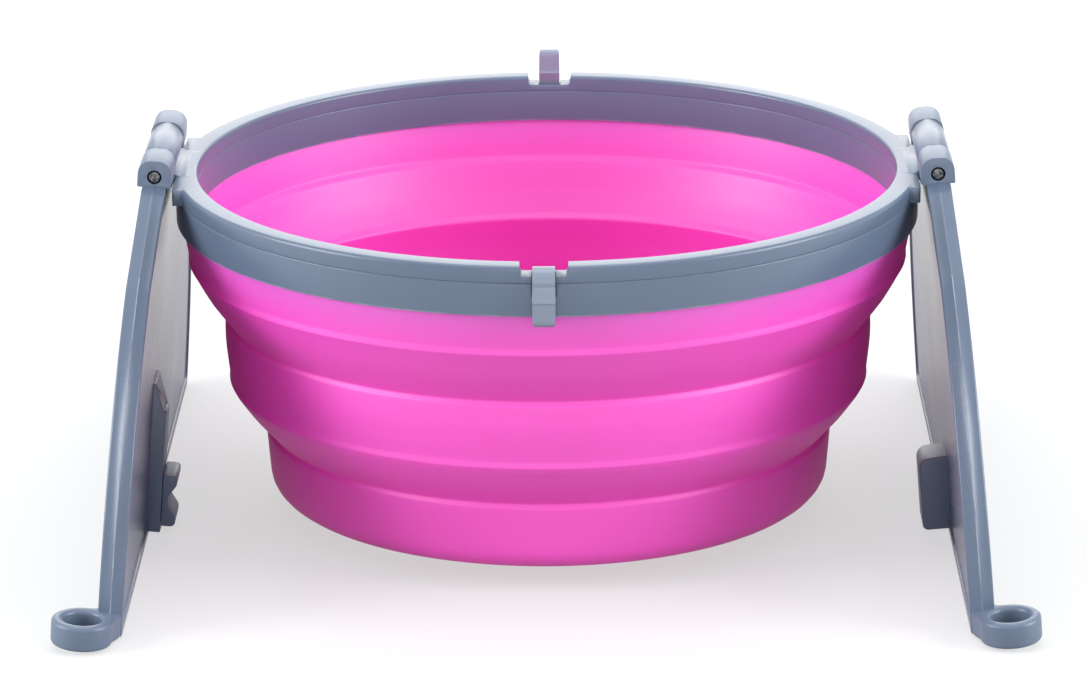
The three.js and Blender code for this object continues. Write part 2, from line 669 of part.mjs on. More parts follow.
for (const [name, side, turn] of [['front_clip', -1, 0], ['rear_clip', 1, Math.PI]]) {
  const place = new THREE.Group();
  place.position.set(0, side * clipAxisRadius, clipAxisZ);
  const swing = toMesh(name, clip(), greyPlastic);
  swing.rotation.set(turn, 0, side > 0 ? 0 : Math.PI);
  const axle = toMesh(`${name}_axle`, barAlongX(CLIP_AXLE_RADIUS, CLIP_AXLE_LENGTH, PIN_FACETS), pinSteel);
  place.add(swing, axle);
  bowl.add(place);
}

export default bowl;
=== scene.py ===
# %% [markdown]
# A collapsible travel bowl that stands on its own lids
#
# A soft silicone bowl hangs in a stiff plastic rim. Two half-lids swing right over on steel pins and
# become legs. In this lesson the measured solids are the fixed frame, and each visible piece is made
# again in its place with finer curves, rounded edges and a finish of its own.

# %% Load the measured model
import json
import math

import bmesh
import bpy
from mathutils import Matrix, Vector


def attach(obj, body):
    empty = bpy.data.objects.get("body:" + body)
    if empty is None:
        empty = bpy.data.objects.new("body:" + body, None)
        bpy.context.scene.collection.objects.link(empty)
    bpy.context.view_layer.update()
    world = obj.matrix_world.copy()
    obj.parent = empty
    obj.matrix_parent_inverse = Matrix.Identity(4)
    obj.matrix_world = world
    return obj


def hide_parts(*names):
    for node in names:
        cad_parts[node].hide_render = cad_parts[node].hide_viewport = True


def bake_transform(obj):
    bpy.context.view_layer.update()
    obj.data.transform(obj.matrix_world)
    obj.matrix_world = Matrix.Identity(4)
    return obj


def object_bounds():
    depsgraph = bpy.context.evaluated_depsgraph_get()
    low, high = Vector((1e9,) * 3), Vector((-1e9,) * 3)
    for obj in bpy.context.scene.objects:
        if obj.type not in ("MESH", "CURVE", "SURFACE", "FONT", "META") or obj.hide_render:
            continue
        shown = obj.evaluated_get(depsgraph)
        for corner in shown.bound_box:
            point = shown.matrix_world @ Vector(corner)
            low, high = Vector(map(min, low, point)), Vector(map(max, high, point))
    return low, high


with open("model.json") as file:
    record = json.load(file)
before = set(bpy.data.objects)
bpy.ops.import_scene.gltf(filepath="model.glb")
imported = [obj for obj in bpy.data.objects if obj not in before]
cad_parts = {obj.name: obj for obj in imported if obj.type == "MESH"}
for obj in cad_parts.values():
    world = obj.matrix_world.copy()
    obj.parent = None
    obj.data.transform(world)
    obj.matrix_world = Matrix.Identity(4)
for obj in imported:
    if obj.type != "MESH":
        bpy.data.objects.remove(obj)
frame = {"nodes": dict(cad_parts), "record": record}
nodes = frame["nodes"]
measured_box = [list(corner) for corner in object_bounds()]
MM = 0.001
print("measured pieces:", sorted(nodes))

# %% [markdown]
# The camera
#
# The photograph fits a long lens about a metre away that looks down on the rim at a shallow angle. A long
# lens keeps the near and the far side of the rim almost the same width. The lens is written in pixels of
# the photograph, which makes it easy to check against a measured picture.

# %% Camera at the photograph's angle
IMAGE_WIDTH = 1086
LENS_PIXELS = 4800
STAND_OFF = 1000.3
EYE_HEIGHT = 344.3
SWING = 0.0095
AIM = 0.0011
LOOK_DOWN = 0.3049
ROLL = -0.0072

lens = bpy.data.cameras.new("camera")
lens.sensor_fit = "HORIZONTAL"
lens.sensor_width = 36
lens.lens = lens.sensor_width * LENS_PIXELS / IMAGE_WIDTH
camera = bpy.data.objects.new("camera", lens)
bpy.context.scene.collection.objects.link(camera)
eye = Vector((STAND_OFF * math.sin(SWING), -STAND_OFF * math.cos(SWING), EYE_HEIGHT)) * MM
heading = Matrix.Rotation(SWING + AIM, 4, "Z")
tilt = Matrix.Rotation(math.pi / 2 - LOOK_DOWN, 4, "X")
camera.matrix_world = Matrix.Translation(eye) @ heading @ tilt @ Matrix.Rotation(ROLL, 4, "Z")
bpy.context.scene.camera = camera
print("lens", round(lens.lens, 1), "mm")

# %% [markdown]
# Outlines with rounded corners
#
# Moulded pieces have no sharp corners. A corner is given as a point and a radius, and the helper below
# puts the arc in. The same outline can then be turned on a lathe or pulled along a line.

# %% Outline helpers
ARC_STEP = math.radians(15)
NEARLY_STRAIGHT = math.pi - 0.01
SIDE_SHARE = 0.49


def eased(corners):
    """A closed outline from corners (u, v, radius), with each corner rounded."""
    outline = []
    for i, (u, v, radius) in enumerate(corners):
        here = Vector((u, v))
        back = Vector(corners[i - 1][:2]) - here
        ahead = Vector(corners[(i + 1) % len(corners)][:2]) - here
        opening = back.angle(ahead)
        if radius == 0 or opening > NEARLY_STRAIGHT:
            outline.append(here)
            continue
        reach = min(radius / math.tan(opening / 2), SIDE_SHARE * min(back.length, ahead.length))
        arc_radius = reach * math.tan(opening / 2)
        middle = (back.normalized() + ahead.normalized()).normalized()
        centre = here + middle * (arc_radius / math.sin(opening / 2))
        first = here + back.normalized() * reach - centre
        last = here + ahead.normalized() * reach - centre
        turn = math.atan2(first.x * last.y - first.y * last.x, first.dot(last))
        steps = max(2, math.ceil(abs(turn) / ARC_STEP))
        for k in range(steps + 1):
            outline.append(centre + Matrix.Rotation(turn * k / steps, 2) @ first)
    return outline


def dense(outline, spacing):
    """The same closed outline with extra points, so that no side is longer than the spacing."""
    points = []
    for i, here in enumerate(outline):
        ahead = outline[(i + 1) % len(outline)]
        parts = max(1, math.ceil((ahead - here).length / spacing))
        points += [here.lerp(ahead, k / parts) for k in range(parts)]
    return points


def rectangle(low, high, radius=0):
    return eased([(low[0], low[1], radius), (high[0], low[1], radius),
                  (high[0], high[1], radius), (low[0], high[1], radius)])


def disc(radius, sides=64):
    angles = [2 * math.pi * k / sides for k in range(sides)]
    return [Vector((radius * math.cos(a), radius * math.sin(a))) for a in angles]


print("a rounded square has", len(rectangle((0, 0), (10, 10), 1)), "points")

# %% [markdown]
# Turning, pulling and cutting
#
# Three ways of working make nearly every piece here. A lathe turns an outline about the upright axis. A
# pull makes an outline thick. A cut takes one closed shape out of another. After a cut, a narrow bevel
# breaks the new edges, because light on a broken edge is what makes plastic look moulded.

# %% Mesh helpers
SHARP = math.radians(38)
DOUBLED = 1e-7


def clean(piece):
    """Merges doubled points, turns the faces outward and shades them smoothly up to sharp edges."""
    work = bmesh.new()
    work.from_mesh(piece.data)
    bmesh.ops.remove_doubles(work, verts=work.verts, dist=DOUBLED)
    bmesh.ops.dissolve_degenerate(work, edges=work.edges, dist=DOUBLED)
    bmesh.ops.recalc_face_normals(work, faces=work.faces)
    for face in work.faces:
        face.smooth = True
    for edge in work.edges:
        edge.smooth = len(edge.link_faces) == 2 and edge.calc_face_angle() < SHARP
    work.to_mesh(piece.data)
    work.free()
    return piece


def mesh_piece(name, points, faces):
    mesh = bpy.data.meshes.new(name)
    mesh.from_pydata([Vector(point) * MM for point in points], [], faces)
    piece = bpy.data.objects.new(name, mesh)
    bpy.context.scene.collection.objects.link(piece)
    return clean(piece)


def settle(piece):
    """Makes the piece's modifiers part of its mesh."""
    graph = bpy.context.evaluated_depsgraph_get()
    finished = bpy.data.meshes.new_from_object(piece.evaluated_get(graph))
    piece.modifiers.clear()
    piece.data = finished
    return clean(piece)


print("edges sharper than", round(math.degrees(SHARP)), "degrees stay crisp")

# %% Ways of working
ON_AXIS = 1e-6


def turned(name, outline, slices=224):
    """A closed outline of (radius, height) turned about the upright axis."""
    points = []
    for k in range(slices):
        angle = 2 * math.pi * k / slices
        points += [(r * math.cos(angle), r * math.sin(angle), z) for r, z in outline]
    size = len(outline)
    faces = []
    for k in range(slices):
        near, far = k * size, ((k + 1) % slices) * size
        for i in range(size):
            j = (i + 1) % size
            if max(outline[i][0], outline[j][0]) > ON_AXIS:
                faces.append((near + i, near + j, far + j, far + i))
    return mesh_piece(name, points, faces)


def pulled(name, outline, low, high, place):
    """A closed outline made thick from low to high. place(u, v, w) says where a point lies."""
    size = len(outline)
    points = [place(u, v, low) for u, v in outline] + [place(u, v, high) for u, v in outline]
    faces = [tuple(range(size)), tuple(range(2 * size - 1, size - 1, -1))]
    faces += [(i, i + size, (i + 1) % size + size, (i + 1) % size) for i in range(size)]
    return mesh_piece(name, points, faces)


def shaped(piece, operation, *tools):
    """Cuts tools out of a piece (DIFFERENCE) or joins them to it (UNION)."""
    for tool in tools:
        change = piece.modifiers.new(operation.lower(), "BOOLEAN")
        change.operation = operation
        change.solver = "EXACT"
        change.object = tool
        settle(piece)
        bpy.data.objects.remove(tool)
    return piece


def broken_edges(piece, width, segments):
    bevel = piece.modifiers.new("edges", "BEVEL")
    bevel.width = width * MM
    bevel.segments = segments
    bevel.limit_method = "ANGLE"
    bevel.angle_limit = SHARP
    return settle(piece)


print("ways of working: turn, pull, cut, break edges")

# %% Directions to pull in


def along_x(u, v, w):
    return (w, u, v)


def along_y(u, v, w):
    return (u, w, v)


def along_z(u, v, w):
    return (u, v, w)


def at(place, x, y, z):
    """A place that is moved by x, y and z."""
    def moved(u, v, w):
        return tuple(a + b for a, b in zip(place(u, v, w), (x, y, z)))
    return moved


def box(name, low, high, place=along_z):
    return pulled(name, rectangle(low, high), low[2], high[2], place)


print("directions ready")

# %% [markdown]
# The rim
#
# The rim is two rings joined on a flat plane. The upper one carries the hinges and the lower one holds the
# bowl's bead. Where they meet, both edges are broken a little, and this leaves the fine line that runs all
# the way round the real rim. The rings are turned, and then the notches and pockets for the clips are cut.

# %% Sizes of the rim
RIM_OUT, RIM_IN = 80.0, 75.3
RIM_TOP, RIM_JOINT, RIM_FOOT = 72.0, 68.5, 61.5
HINGE_X, HINGE_Z = 82.85, 74.85
PAD_ROOT, PAD_FACE, PAD_FOOT = RIM_IN + 1, 79.25, RIM_JOINT + 0.1
WEB_ROOT, WEB_FOOT = RIM_IN + 2, RIM_TOP - 1.4
KNUCKLE = 3.55
RIM_KNUCKLE_HALF = 10.7
LID_KNUCKLE_START, LID_KNUCKLE_END = 11.0, 21.6
PIN, BORE = 1.25, 1.55
NOTCH_HALF, NOTCH_FLARE = 4.8, 0.3
NOTCH_FLOOR, NOTCH_TOP = 70.0, RIM_TOP + 3
CLIP_RADIUS, CLIP_Z = 79.0, 69.0
POCKET_HALF, POCKET_REACH = 2.45, 3.1
BEYOND = 10


def clip_pockets():
    """The notch and the knuckle pocket at the front and the rear, as shapes to cut away."""
    tools = []
    for side in (-1, 1):
        notch = eased([(-NOTCH_HALF, NOTCH_FLOOR, 0.7), (NOTCH_HALF, NOTCH_FLOOR, 0.7),
                       (NOTCH_HALF + NOTCH_FLARE, NOTCH_TOP, 0), (-NOTCH_HALF - NOTCH_FLARE, NOTCH_TOP, 0)])
        low, high = sorted((side * (RIM_IN - BEYOND), side * (RIM_OUT + BEYOND)))
        tools.append(pulled("notch", notch, low, high, along_y))
        low, high = sorted((side * (CLIP_RADIUS - POCKET_REACH), side * (RIM_OUT + BEYOND)))
        pocket_foot = CLIP_Z - POCKET_REACH
        tools.append(box("pocket", (-POCKET_HALF, low, pocket_foot), (POCKET_HALF, high, NOTCH_TOP)))
    return tools


print("rim", 2 * RIM_OUT, "mm across")

# %% [markdown]
# A hinge on the rim has a flat pad, a thin web that rises from it, and a barrel that the web carries. The
# web meets the barrel in a soft curve. All three are joined to the ring before the pin's bore is drilled.
# Faces that would lie in one plane are set apart by a hair, because joining and cutting need clear crossings.

# %% Upper ring with its hinges
HAIR = 0.02


def hinge_parts(side):
    pad_low, pad_high = sorted((side * PAD_ROOT, side * PAD_FACE))
    pad = pulled("pad", rectangle((pad_low, -LID_KNUCKLE_END), (pad_high, LID_KNUCKLE_END), 0.5),
                 PAD_FOOT, RIM_TOP - HAIR, along_z)
    half = RIM_KNUCKLE_HALF
    outline = eased([(WEB_ROOT, WEB_FOOT, 0), (HINGE_X, WEB_FOOT, 0), (HINGE_X, HINGE_Z, 0),
                     (HINGE_X - 2.4, HINGE_Z - 1.6, 1.5), (HINGE_X - 4.4, RIM_TOP + HAIR, 1.5),
                     (WEB_ROOT, RIM_TOP + HAIR, 0)])
    web = pulled("web", [Vector((side * u, v)) for u, v in outline], -half, half, along_y)
    axis = at(along_y, side * HINGE_X, 0, HINGE_Z)
    barrel = pulled("barrel", disc(KNUCKLE), -half, half, axis)
    bore = pulled("bore", disc(BORE, sides=32), -LID_KNUCKLE_END, LID_KNUCKLE_END, axis)
    return (pad, web, barrel), bore


upper_ring = turned("rim_upper_ring_skin", eased([
    (RIM_IN, RIM_JOINT, 0.22), (RIM_OUT, RIM_JOINT, 0.22), (RIM_OUT, RIM_TOP, 0.8), (RIM_IN, RIM_TOP, 0.7)]))
for side in (-1, 1):
    parts, bore = hinge_parts(side)
    shaped(upper_ring, "UNION", *parts)
    shaped(upper_ring, "DIFFERENCE", bore)
shaped(upper_ring, "DIFFERENCE", *clip_pockets())
broken_edges(upper_ring, width=0.25, segments=2)
print("upper ring:", len(upper_ring.data.polygons), "faces")

# %% Lower ring
GROOVE_IN, GROOVE_OUT, GROOVE_DEPTH = 76.7, 78.6, 1.5

lower_ring = turned("rim_lower_ring_skin", eased([
    (RIM_IN, RIM_FOOT, 0.35), (GROOVE_IN, RIM_FOOT, 0.1), (GROOVE_IN, RIM_FOOT + GROOVE_DEPTH, 0),
    (GROOVE_OUT, RIM_FOOT + GROOVE_DEPTH, 0), (GROOVE_OUT, RIM_FOOT, 0.1), (RIM_OUT, RIM_FOOT, 0.35),
    (RIM_OUT, RIM_JOINT, 0.22), (RIM_IN, RIM_JOINT, 0.22)]))
shaped(lower_ring, "DIFFERENCE", *clip_pockets())
broken_edges(lower_ring, width=0.15, segments=2)
print("lower ring:", len(lower_ring.data.polygons), "faces")

# %% [markdown]
# The silicone bowl
#
# The real bowl is one soft moulding with two folds. Pressed from below, each fold turns inside out. Here
# it is made as two turned skins. They meet on a level seam in the middle wall, which moves as one piece, and
# the seam runs straight through the wall, so that the skins go on in line and it doesn't show. Each ridge has
# a slight lip and each crease a narrow ledge, inside and out, and they catch a thin line of light.

# %% Upper skin: wall, fold and bead tongue
CREASE_Z, RIDGE_Z = 40.0, 52.4
LOWER_RIDGE_Z, LOWER_CREASE_Z = 25.5, 15.0
SKIN_SPACING = 0.9
BAND_TOP = RIM_FOOT - 0.05
TONGUE_IN, TONGUE_OUT, TONGUE_TOP = 76.95, 78.35, RIM_FOOT + 1.4
SEAM_Z = 29.0
OUTER_SEAM, INNER_SEAM = (69.6, SEAM_Z, 0), (67.2, SEAM_Z, 0)

upper_skin = turned("bowl_upper_skin", dense(eased([
    OUTER_SEAM, (70.2, 34.5, 30), (70.1, CREASE_Z - 0.7, 0.8), (69.5, CREASE_Z + 0.2, 0.5), (74.15, 46.2, 30),
    (76.9, RIDGE_Z - 1.1, 1.0), (77.65, RIDGE_Z + 0.2, 0.6), (77.5, RIDGE_Z + 1.5, 1.5),
    (78.85, BAND_TOP, 0.4), (TONGUE_OUT, BAND_TOP, 0), (TONGUE_OUT, TONGUE_TOP, 0),
    (TONGUE_IN, TONGUE_TOP, 0), (TONGUE_IN, BAND_TOP, 0), (76.45, BAND_TOP, 0.4),
    (75.2, RIDGE_Z + 0.9, 0.9), (74.1, RIDGE_Z - 0.3, 0.9), (71.9, 46.2, 20), (68.5, CREASE_Z + 1.2, 1.5),
    (67.2, CREASE_Z + 0.3, 0.8), (67.8, 34.5, 30), INNER_SEAM]), SKIN_SPACING))
print("upper skin:", len(upper_skin.data.polygons), "faces")

# %% Lower skin: middle wall, fold and base
BASE_THICK = 2.6

lower_skin = turned("bowl_lower_skin", dense(eased([
    (0, 0, 0), (60.6, 0, 5), (61.35, 9, 40), (61.75, LOWER_CREASE_Z - 0.7, 0.8),
    (61.2, LOWER_CREASE_Z + 0.2, 0.5), (65.85, 20.25, 25),
    (68.8, LOWER_RIDGE_Z - 1.1, 1.0), (69.5, LOWER_RIDGE_Z + 0.2, 0.6),
    (69.35, LOWER_RIDGE_Z + 1.5, 1.5), OUTER_SEAM, INNER_SEAM,
    (67.0, LOWER_RIDGE_Z + 0.9, 0.9), (66.0, LOWER_RIDGE_Z - 0.3, 0.9), (63.7, 20.25, 20),
    (60.0, LOWER_CREASE_Z + 1.2, 1.5), (58.8, LOWER_CREASE_Z + 0.3, 0.8),
    (58.6, 9, 40), (58.2, BASE_THICK, 3.5), (0, BASE_THICK, 0)]), SKIN_SPACING))
print("lower skin:", len(lower_skin.data.polygons), "faces")

# %% [markdown]
# The half-lids
#
# A half-lid is a flat D with a raised border, hollow underneath. Its edge was moulded in two halves, each
# drawn in towards its face, and they meet in a fine ridge half way. That is why the edge shows a light and
# a dark band. The shell is built from a stack of outlines, each one set in from the edge by its own amount.

# %% Lid outline
LID_RADIUS, LID_LENGTH = 85.6, 80.05
LID_HALF = 2.55
SHOULDER_X, SHOULDER_Y = 1.8, 22.4
SHOULDER_ARC = math.radians(37.5)
SPLIT_BLUNT = 1.6
ARC_POINTS, CORNER_POINTS, SHOULDER_POINTS = 60, 6, 10


def on_arc(radius, angle):
    return Vector((HINGE_X - radius * math.cos(angle), radius * math.sin(angle)))


shoulder_run = on_arc(LID_RADIUS, SHOULDER_ARC) - Vector((SHOULDER_X, SHOULDER_Y))


def lid_outline(inset, split_inset, hinge_end):
    """Half of the D, from the split round the arc and down the straight shoulder, and then its mirror."""
    radius, split = LID_RADIUS - inset, LID_LENGTH - split_inset
    at_split = math.acos((HINGE_X - split) / radius)
    arc_from = at_split - SPLIT_BLUNT / radius
    tip = on_arc(radius, at_split)
    before, after = tip - Vector((0, SPLIT_BLUNT)), on_arc(radius, arc_from)
    side = []
    for k in range(CORNER_POINTS):
        t = k / CORNER_POINTS
        side.append(before * (1 - t) ** 2 + tip * (2 * t * (1 - t)) + after * t ** 2)
    for k in range(ARC_POINTS):
        side.append(on_arc(radius, arc_from + (SHOULDER_ARC - arc_from) * k / ARC_POINTS))
    start = on_arc(radius, SHOULDER_ARC)
    stop = start - shoulder_run * ((start.x - hinge_end) / shoulder_run.x)
    side += [start.lerp(stop, k / SHOULDER_POINTS) for k in range(SHOULDER_POINTS + 1)]
    return side + [Vector((u, -v)) for u, v in reversed(side)]


print("lid outline:", len(lid_outline(0, 0, SHOULDER_X)), "points")

# %% Lid shell
PANEL_TOP, PANEL_FOOT = 2.05, 0.05
HINGE_BAND, SPLIT_LESS = 5.35, 0.5
REST_TURN = math.radians(94.5)
TURN_COS, TURN_SIN = math.cos(REST_TURN), math.sin(REST_TURN)


def left_place(u, v, w):
    """From the closed left lid, with u from its hinge to the split, to where it stands as a leg."""
    return (-HINGE_X + u * TURN_COS + w * TURN_SIN, v, HINGE_Z - u * TURN_SIN + w * TURN_COS)


def right_place(u, v, w):
    x, y, z = left_place(u, v, w)
    return (-x, -y, z)


def lid_layers():
    """Insets, heights and hinge ends of the stacked outlines, from the recess round to the hollow."""
    outer = [(0.92, LID_HALF), (0.7, 2.5), (0.55, 2.36), (0.48, 2.12), (0.05, 0.2), (-0.05, 0.1)]
    inner_top = [(2.75, PANEL_TOP), (2.45, 2.1), (2.3, 2.25), (2.15, 2.48), (1.9, LID_HALF)]
    inner_foot = [(1.9, -LID_HALF), (2.15, -2.48), (2.25, -2.2), (2.4, -0.25), (2.55, -0.02),
                  (2.9, PANEL_FOOT)]
    layers = [(inset, inset, height, HINGE_BAND + inset) for inset, height in inner_top]
    for sign in (1, -1):
        for inset, height in outer[::sign]:
            layers.append((inset, max(inset - SPLIT_LESS, 0), sign * height, SHOULDER_X + max(inset, 0)))
    layers += [(inset, inset, height, HINGE_BAND + inset) for inset, height in inner_foot]
    return layers


def lid_shell(name, place):
    points, faces = [], []
    for inset, split_inset, height, hinge_end in lid_layers():
        outline = lid_outline(inset, split_inset, hinge_end)
        points += [place(u, v, height) for u, v in outline]
    size = len(outline)
    levels = len(points) // size
    for level in range(levels - 1):
        low, high = level * size, (level + 1) * size
        faces += [(low + i, low + (i + 1) % size, high + (i + 1) % size, high + i) for i in range(size)]
    faces.append(tuple(range(size)))
    faces.append(tuple(range((levels - 1) * size, levels * size)))
    return mesh_piece(name, points, faces)


print("lid layers:", len(lid_layers()))

# %% Both shells, with the gate that clears the rim's barrel
GATE_DEPTH = 4.95

lid_places = {"left": left_place, "right": right_place}
shells = {}
for hand, place in lid_places.items():
    shell = lid_shell(f"{hand}_lid_shell", place)
    gate = box("gate", (-BEYOND, -LID_KNUCKLE_START, -BEYOND), (GATE_DEPTH, LID_KNUCKLE_START, BEYOND), place)
    shells[hand] = shaped(shell, "DIFFERENCE", gate)
    print(hand, "lid shell:", len(shell.data.polygons), "faces")

# %% [markdown]
# Knuckles
#
# Each lid wraps its pin with two knuckles. Seen from the end, a knuckle is a round head on a short straight
# neck, like a tombstone. On the half next to the rim's barrel a heel reaches further down and stops the leg
# against the rim's pad. The bore is a little wider than the pin, which leaves a thin dark ring around its
# end.

# %% Lid knuckles and hinge pins
HEEL, STOP_HEEL, STOP_ROOT = 2.2, 3.3, 0.5
NECK_HALF, NECK_END = LID_HALF - 0.1, 7.2


def knuckle(name, end, place):
    low, high = sorted((end * LID_KNUCKLE_START, end * LID_KNUCKLE_END))
    middle = end * (LID_KNUCKLE_START + LID_KNUCKLE_END) / 2
    stop_low, stop_high = sorted((end * (LID_KNUCKLE_START + HAIR), middle))
    head = eased([(HEEL, -KNUCKLE, 0.3), (HEEL, -NECK_HALF, 0), (NECK_END, -NECK_HALF, 0),
                  (NECK_END, NECK_HALF, 0), (HEEL, NECK_HALF, 0), (HEEL, KNUCKLE, 0.3),
                  (-KNUCKLE, KNUCKLE, KNUCKLE), (-KNUCKLE, -KNUCKLE, KNUCKLE)])

    def lengthwise(u, v, w):
        return place(u, w, v)

    body = pulled(name, head, low, high, lengthwise)
    stop = box("stop", (STOP_ROOT, stop_low, STOP_ROOT), (STOP_HEEL, stop_high, KNUCKLE - HAIR), place)
    shaped(body, "UNION", stop)
    bore = pulled("bore", disc(BORE, sides=40), low - BEYOND, high + BEYOND, lengthwise)
    shaped(body, "DIFFERENCE", bore)
    return broken_edges(body, width=0.3, segments=3)


ends = {"front": -1, "rear": 1}
knuckles = {hand: [knuckle(f"{hand}_lid_{word}_knuckle", end, place) for word, end in ends.items()]
            for hand, place in lid_places.items()}

PIN_HALF = LID_KNUCKLE_END - 0.2
pins = {}
for side, hand in ((-1, "left"), (1, "right")):
    axis = at(along_y, side * HINGE_X, 0, HINGE_Z)
    pin = pulled(f"{hand}_pin_skin", disc(PIN, sides=40), -PIN_HALF, PIN_HALF, axis)
    pins[hand] = broken_edges(pin, width=0.25, segments=3)
print("knuckles:", sum(len(pair) for pair in knuckles.values()), "pins:", len(pins))

# %% [markdown]
# Carry loops
#
# A thick ring stands at each lid's front corner, square to the lid and level with its straight edge. Its
# outline is a round with a short neck into the corner. It is pulled to its thickness, the hole is cut, and
# then the edges get a wide soft bevel.

# %% Loops at the front corners
LOOP_HOLE, LOOP_OUTER, LOOP_THICK = 4.0, 6.3, 5.4
LOOP_Y, LOOP_DROP = LID_RADIUS + 2.9, -5.3
LOOP_TURN = math.radians(270)
LOOP_POINTS = 60


def loop(name, place, front):
    angles = [math.pi + LOOP_TURN * k / LOOP_POINTS for k in range(LOOP_POINTS + 1)]
    middle = Vector((LOOP_Y, LOOP_DROP))
    outline = [middle + Vector((math.cos(a), math.sin(a))) * LOOP_OUTER for a in angles]
    neck = LID_RADIUS - LOOP_OUTER
    corner = eased([(*outline[-1], 0), (LID_RADIUS, LID_HALF - 0.3, 4), (neck, NECK_HALF, 0),
                    (neck, -NECK_HALF, 0), (LOOP_Y - LOOP_OUTER, -LID_HALF - 0.2, 2), (*outline[0], 0)])

    def lengthwise(u, v, w):
        return place(w, front * u, v)

    ring = pulled(name, outline + corner[1:-1], LID_LENGTH - LOOP_THICK, LID_LENGTH - HAIR, lengthwise)
    round_hole = [point + middle for point in disc(LOOP_HOLE)]
    hole = pulled("hole", round_hole, LID_LENGTH - 2 * LOOP_THICK, LID_LENGTH + LOOP_THICK, lengthwise)
    shaped(ring, "DIFFERENCE", hole)
    return broken_edges(ring, width=0.9, segments=5)


loops = {"left": loop("left_lid_loop", left_place, -1), "right": loop("right_lid_loop", right_place, 1)}
print("loops:", [len(piece.data.polygons) for piece in loops.values()])

# %% [markdown]
# Latch and keeper
#
# The latch is a bar with a thumb grip that slides between two hooked rails. The rails run out in a
# ramp towards the hinge, and the channel is closed there. The grip has two humps with a hollow between them
# for the thumb. The keeper on the other lid is a hood with an open mouth. All of them stop just short of the
# edge that the lid stands on.

# %% Sizes of the latch
LATCH_Y, LATCH_HALF = -16.0, 5.0
LATCH_END = LID_LENGTH - 0.35
GUIDE_START, GUIDE_RAMP = LID_LENGTH - 34, 8
GUIDE_FLOOR = 1.6
RAIL_IN, RAIL_LIP = 3.8, 3.0
LIP_Z, RAIL_Z = 4.15, 4.95
TIP = LID_LENGTH - 0.3
SLIDER_HALF, SLIDER_FOOT, SLIDER_START = 2.7, 2.85, TIP - 27
FLANGE_HALF, FLANGE_FOOT, FLANGE_TOP = 3.5, SLIDER_FOOT + 0.05, 3.85
GRIP_END = TIP - 1.5
GRIP_START = GRIP_END - 11.6
GRIP_FOOT, GRIP_TOP, GRIP_VALLEY, GRIP_HALF = 5.08, 8.1, 5.6, 4.7
GRIP_HUMP, GRIP_SPACING = 2.2, 0.8
STEM_INSET, STEM_HALF, STEM_FOOT, STEM_TOP = 0.5, SLIDER_HALF - 0.05, 3, GRIP_FOOT + 0.35
KEEPER_START, KEEPER_TOP = LID_LENGTH - 17, 8.05
MOUTH_START, MOUTH_HALF, MOUTH_TOP = LID_LENGTH - 3.6, 3, 5.25


def crosswise(place, shift):
    """Outlines drawn across a lid: u along its length, v up from it, w across it."""
    def placed(u, v, w):
        return place(u, w + shift, v)
    return placed


def lengthways(place, shift):
    """Outlines drawn square to a lid's length: u across it, v up from it, w along it."""
    def placed(u, v, w):
        return place(w, u + shift, v)
    return placed


print("latch centred", LATCH_Y, "mm from the lid's middle")

# %% Guide rails
half_guide = [(LATCH_HALF, GUIDE_FLOOR), (LATCH_HALF, RAIL_Z), (RAIL_LIP, RAIL_Z), (RAIL_LIP, LIP_Z),
              (RAIL_IN, LIP_Z), (RAIL_IN, LID_HALF)]
guide_outline = [Vector(p) for p in half_guide] + [Vector((-u, v)) for u, v in reversed(half_guide)]
guide = pulled("left_lid_guide", guide_outline, GUIDE_START, LATCH_END, lengthways(left_place, LATCH_Y))
FILLING_HALF, FILLING_FOOT, FILLING_TOP = LATCH_HALF - 0.5, LID_HALF - 0.5, RAIL_Z - 0.03
FILLING_END = SLIDER_START - 0.4
filling = box("filling", (GUIDE_START, LATCH_Y - FILLING_HALF, FILLING_FOOT),
              (FILLING_END, LATCH_Y + FILLING_HALF, FILLING_TOP), left_place)
shaped(guide, "UNION", filling)
above, behind = RAIL_Z + HAIR, GUIDE_START - 1
ramp = [Vector((behind, LID_HALF)), Vector((GUIDE_START, LID_HALF)),
        Vector((GUIDE_START + GUIDE_RAMP, above)), Vector((behind, above))]
shaped(guide, "DIFFERENCE", pulled("ramp", ramp, -BEYOND, BEYOND, crosswise(left_place, LATCH_Y)))
broken_edges(guide, width=0.22, segments=2)
print("guide:", len(guide.data.polygons), "faces")

# %% Slider with its thumb grip
middle = (GRIP_START + GRIP_END) / 2
grip_outline = eased([
    (GRIP_START, GRIP_FOOT, 0.3), (GRIP_END, GRIP_FOOT, 0.3), (GRIP_END, GRIP_TOP, 1.2),
    (GRIP_END - GRIP_HUMP, GRIP_TOP, 1.6), (middle, GRIP_VALLEY, 3), (GRIP_START + GRIP_HUMP, GRIP_TOP, 1.6),
    (GRIP_START, GRIP_TOP, 0.8)])
grip_outline = dense(grip_outline, GRIP_SPACING)
grip = pulled("grip", grip_outline, -GRIP_HALF, GRIP_HALF, crosswise(left_place, LATCH_Y))
slider = box("latch_slider_skin", (SLIDER_START, LATCH_Y - SLIDER_HALF, SLIDER_FOOT),
             (TIP, LATCH_Y + SLIDER_HALF, RAIL_Z), left_place)
stem = box("stem", (GRIP_START + STEM_INSET, LATCH_Y - STEM_HALF, STEM_FOOT),
           (GRIP_END - STEM_INSET, LATCH_Y + STEM_HALF, STEM_TOP), left_place)
flange = box("flange", (SLIDER_START + 0.1, LATCH_Y - FLANGE_HALF, FLANGE_FOOT),
             (GRIP_END, LATCH_Y + FLANGE_HALF, FLANGE_TOP), left_place)
shaped(slider, "UNION", stem, flange, grip)
broken_edges(slider, width=0.4, segments=3)
print("slider:", len(slider.data.polygons), "faces")

